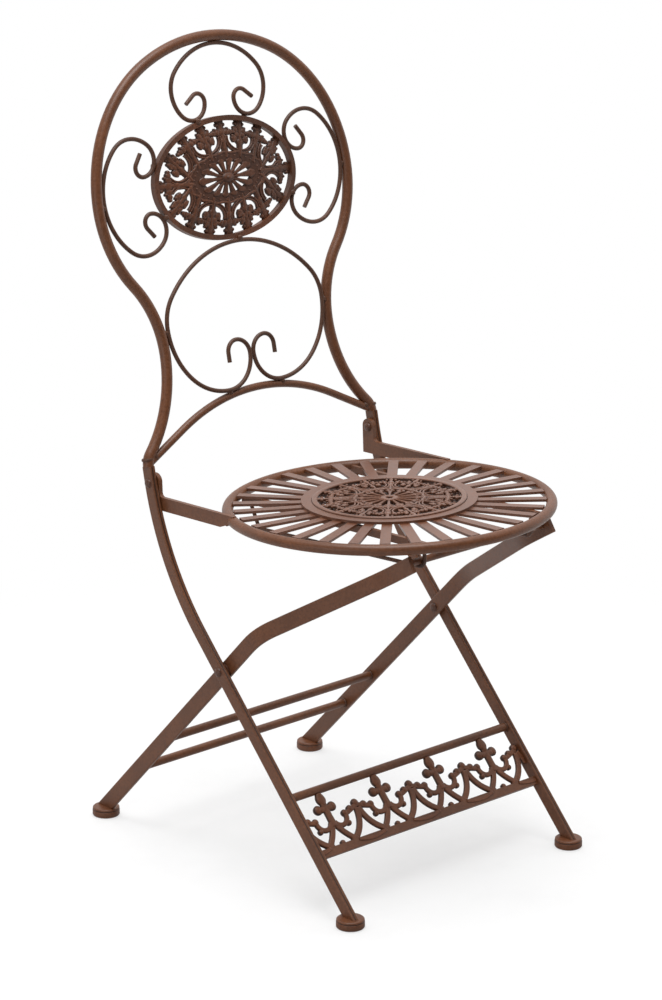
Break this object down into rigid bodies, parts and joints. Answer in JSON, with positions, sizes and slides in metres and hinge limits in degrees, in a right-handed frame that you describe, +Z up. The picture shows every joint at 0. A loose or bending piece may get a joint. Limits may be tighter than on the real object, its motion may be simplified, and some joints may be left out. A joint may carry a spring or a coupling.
{
  "type": "folding garden chair",
  "caption": "Folding garden chair with a hoop back, wire scrolls, openwork medallions, a round slatted seat on crossed legs and a rod that slides under the seat.",
  "frame": {"origin": "on the floor under the middle of the chair's bounding box", "axes": "+Z up, +Y to the back of the chair, +X to the sitter's left, so that a viewer in front of the chair has +X at the right"},
  "size_m": [0.399, 0.5286, 0.9399],
  "materials": {
    "painted_bar": "satin antique brown paint with rust-red wear",
    "painted_wire": "satin antique brown paint with rust-red wear",
    "painted_casting": "satin antique brown paint with rust-red wear",
    "painted_strip": "satin antique brown paint with rust-red wear",
    "painted_rivet": "satin antique brown paint with rust-red wear",
    "painted_feet": "satin antique brown paint with rust-red wear"
  },
  "bodies": {
    "frame": {"back_hoop": "painted_bar", "back_arch": "painted_bar", "top_scroll": "painted_wire", "left_scroll": "painted_wire", "right_scroll": "painted_wire", "lower_scroll": "painted_wire", "back_medallion_rim": "painted_casting", "back_medallion": "painted_casting", "front_leg_left": "painted_bar", "front_leg_right": "painted_bar", "front_foot_left": "painted_feet", "front_foot_right": "painted_feet", "front_stretcher": "painted_bar", "panel_bottom_bar": "painted_bar", "front_panel": "painted_casting", "seat_pivot_rivets": "painted_rivet", "leg_pivot_rivets": "painted_rivet", "pivot_washers": "painted_rivet"},
    "rear_legs": {"rear_leg_left": "painted_bar", "rear_leg_right": "painted_bar", "rear_foot_left": "painted_feet", "rear_foot_right": "painted_feet", "rear_stretcher_upper": "painted_bar", "rear_stretcher_lower": "painted_bar"},
    "seat": {"seat_ring": "painted_bar", "seat_slats": "painted_strip", "seat_inner_ring": "painted_strip", "seat_medallion": "painted_casting", "seat_bracket_left": "painted_bar", "seat_bracket_right": "painted_bar", "seat_chord_left": "painted_bar", "seat_chord_right": "painted_bar", "guide_wire_left": "painted_wire", "guide_wire_right": "painted_wire"},
    "slide_rod": {"slide_rod": "painted_bar"}
  },
  "joints": [
    {"name": "seat_fold", "type": "hinge", "parent": "frame", "child": "seat", "pos_m": [0, 0.144, 0.447], "axis": [-1, 0, 0], "range_deg": [0, 83.18]},
    {"name": "rear_leg_fold", "type": "hinge", "parent": "frame", "child": "rear_legs", "pos_m": [0, 0.02231, 0.247], "axis": [-1, 0, 0], "range_deg": [0, 67.82]},
    {"name": "rod_slide", "type": "slide", "parent": "seat", "child": "slide_rod", "axis": [0, 0.9989, -0.0461], "range_m": [0, 0.2692]}
  ],
  "couplings": [
    {"joint": "rear_leg_fold", "follows": "seat_fold", "ratio": 0.81515},
    {"joint": "rod_slide", "follows": "seat_fold", "m_per_rad": 0.18529}
  ]
}
